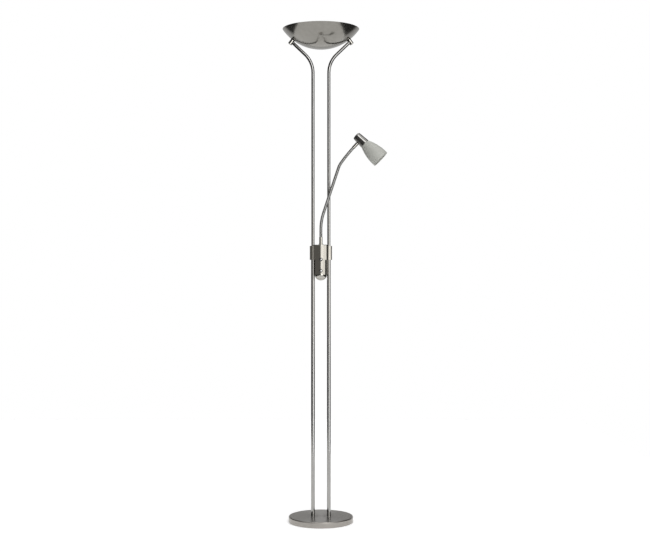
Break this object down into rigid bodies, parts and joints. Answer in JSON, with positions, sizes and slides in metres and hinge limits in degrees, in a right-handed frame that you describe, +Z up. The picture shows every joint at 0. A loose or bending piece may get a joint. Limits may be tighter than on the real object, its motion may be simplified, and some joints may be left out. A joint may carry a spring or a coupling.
{
  "type": "torchiere floor lamp with reading light",
  "caption": "Free-standing uplight floor lamp: weighted disc base, twin poles bent out to an open spun bowl, dimmer box, and a flexible side arm carrying a glass-shaded reading light.",
  "frame": {"origin": "centre of the round base on the floor", "axes": "+Z up; -Y is the front, the side of the dimmer knobs; +X is towards the reading light at rest"},
  "size_m": [0.3808, 0.28, 1.8],
  "materials": {
    "brushed_nickel": "satin nickel plate",
    "spun_nickel": "spun satin nickel",
    "polished_nickel": "smooth satin nickel",
    "neck_nickel": "ribbed satin nickel",
    "knob_chrome": "bright",
    "zinc_steel": "zinc plated",
    "cast_iron": "raw cast",
    "felt_rubber": "matt foam",
    "black_rubber": "matt",
    "black_plastic": "moulded",
    "white_plastic": "moulded",
    "circuit_board": "laminate",
    "ceramic": "unglazed",
    "brass": "plain",
    "clear_glass": "clear",
    "frosted_glass": "frosted"
  },
  "bodies": {
    "stand": {"arm_bushing": "brushed_nickel", "base_cover": "brushed_nickel", "base_pad": "felt_rubber", "base_weight": "cast_iron", "bowl": "spun_nickel", "bowl_cap_nuts": "zinc_steel", "box_back_cover": "polished_nickel", "box_cap": "polished_nickel", "box_front_cover": "polished_nickel", "box_screws": "zinc_steel", "cable_gland": "black_rubber", "clamp_bolts": "zinc_steel", "clamp_left": "brushed_nickel", "clamp_right": "brushed_nickel", "clamp_washers": "black_rubber", "contact_fixed": "brass", "control_board": "circuit_board", "dimmer_lower": "black_plastic", "dimmer_upper": "black_plastic", "foot_nuts": "zinc_steel", "foot_studs": "zinc_steel", "foot_washers": "zinc_steel", "glass_clips": "zinc_steel", "guard_glass": "clear_glass", "halogen_caps": "ceramic", "halogen_tube": "clear_glass", "lamp_bracket": "zinc_steel", "lampholder_left": "ceramic", "lampholder_right": "ceramic", "lower_pole_left": "brushed_nickel", "lower_pole_right": "brushed_nickel", "pole_couplers": "zinc_steel", "terminal_block": "white_plastic", "upper_pole_left": "brushed_nickel", "upper_pole_right": "brushed_nickel"},
    "arm_base": {"arm_ferrule": "brushed_nickel", "arm_nut": "zinc_steel", "neck_1": "neck_nickel"},
    "neck_b": {"neck_2": "neck_nickel"},
    "neck_c": {"neck_3": "neck_nickel"},
    "neck_d": {"neck_4": "neck_nickel"},
    "neck_e": {"neck_5": "neck_nickel"},
    "neck_tip": {"neck_6": "neck_nickel", "tip_ferrule": "brushed_nickel", "head_nut": "zinc_steel"},
    "reading_head": {"head_cap": "brushed_nickel", "socket_plate": "zinc_steel", "reading_socket": "ceramic", "glass_shade": "frosted_glass", "shade_ring": "zinc_steel", "reading_bulb": "clear_glass"},
    "upper_knob": {"knob_upper": "knob_chrome", "dimmer_shaft_upper": "zinc_steel"},
    "lower_knob": {"knob_lower": "knob_chrome", "dimmer_shaft_lower": "zinc_steel"},
    "sprung_contact": {"contact_sprung": "brass"}
  },
  "joints": [
    {"name": "arm_swivel", "type": "hinge", "parent": "stand", "child": "arm_base", "pos_m": [0, -0.018, 1.012], "axis": [0, 0, 1], "range_deg": [-188, 8]},
    {"name": "neck_bend_1", "type": "hinge", "parent": "arm_base", "child": "neck_b", "pos_m": [0.00057, -0.018, 1.08198], "axis": [0, -1, 0], "range_deg": [-25, 12]},
    {"name": "neck_bend_2", "type": "hinge", "parent": "neck_b", "child": "neck_c", "pos_m": [0.01446, -0.018, 1.1422], "axis": [0, -1, 0], "range_deg": [-25, 14]},
    {"name": "neck_bend_3", "type": "hinge", "parent": "neck_c", "child": "neck_d", "pos_m": [0.03403, -0.018, 1.20104], "axis": [0, 1, 0], "range_deg": [-18, 28]},
    {"name": "neck_bend_4", "type": "hinge", "parent": "neck_d", "child": "neck_e", "pos_m": [0.0536, -0.018, 1.25987], "axis": [0, 1, 0], "range_deg": [-22, 28]},
    {"name": "neck_bend_5", "type": "hinge", "parent": "neck_e", "child": "neck_tip", "pos_m": [0.0782, -0.018, 1.31632], "axis": [0, 1, 0], "range_deg": [-28, 28]},
    {"name": "head_swivel", "type": "hinge", "parent": "neck_tip", "child": "reading_head", "pos_m": [0.14494, -0.018, 1.39319], "axis": [0.6947, 0, 0.7193], "range_deg": [-165, 165]},
    {"name": "upper_knob_turn", "type": "hinge", "parent": "stand", "child": "upper_knob", "pos_m": [0, -0.032, 0.958], "axis": [0, 1, 0], "range_deg": [-150, 150]},
    {"name": "lower_knob_turn", "type": "hinge", "parent": "stand", "child": "lower_knob", "pos_m": [0, -0.032, 0.917], "axis": [0, 1, 0], "range_deg": [-150, 150]},
    {"name": "contact_press", "type": "slide", "parent": "stand", "child": "sprung_contact", "axis": [1, 0, 0], "range_m": [0, 0.003], "stiffness_N_per_m": 2000}
  ]
}
